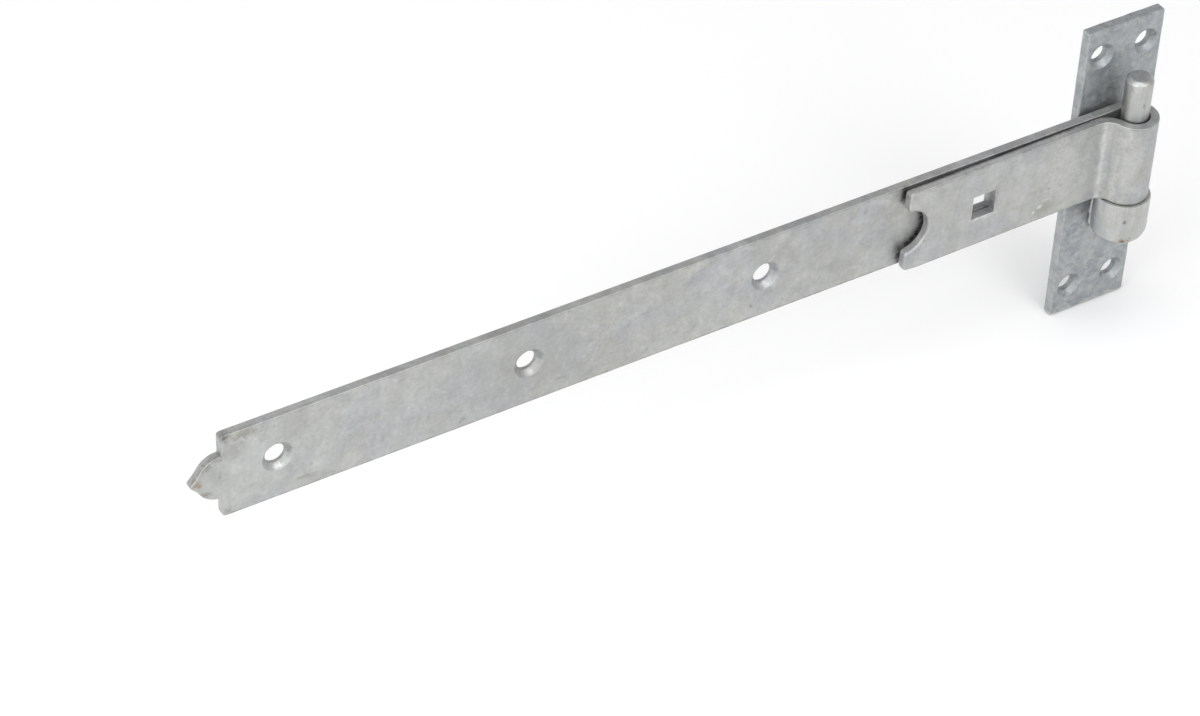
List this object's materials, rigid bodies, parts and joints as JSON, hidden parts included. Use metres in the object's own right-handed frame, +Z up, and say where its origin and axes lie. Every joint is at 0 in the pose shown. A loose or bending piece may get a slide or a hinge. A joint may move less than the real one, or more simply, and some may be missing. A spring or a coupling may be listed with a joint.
{
  "type": "hook and band gate hinge",
  "caption": "Galvanised gate hinge: a strap folded round an eye, with a pointed tip, swings on an upright pin with a boss welded to a screw-on plate.",
  "frame": {"origin": "middle of the plate's back face, the face that lies on the gate post", "axes": "+Z up along the pin, +Y into the post through the plate's back, -Y towards the viewer, band along -X with the gate closed"},
  "size_m": [0.459, 0.0295, 0.15],
  "materials": {
    "plate_zinc": "dull mottled hot-dip zinc",
    "pin_zinc": "satin hot-dip zinc with upright streaks",
    "band_zinc": "satin hot-dip zinc with soft patches"
  },
  "bodies": {
    "hook": {"plate": "plate_zinc", "hook_pin": "pin_zinc"},
    "band": {"band": "band_zinc"}
  },
  "joints": [
    {"name": "band_swing", "type": "hinge", "parent": "hook", "child": "band", "pos_m": [0, -0.0175, 0.0152], "axis": [0, 0, 1], "range_deg": [-5, 210]}
  ]
}
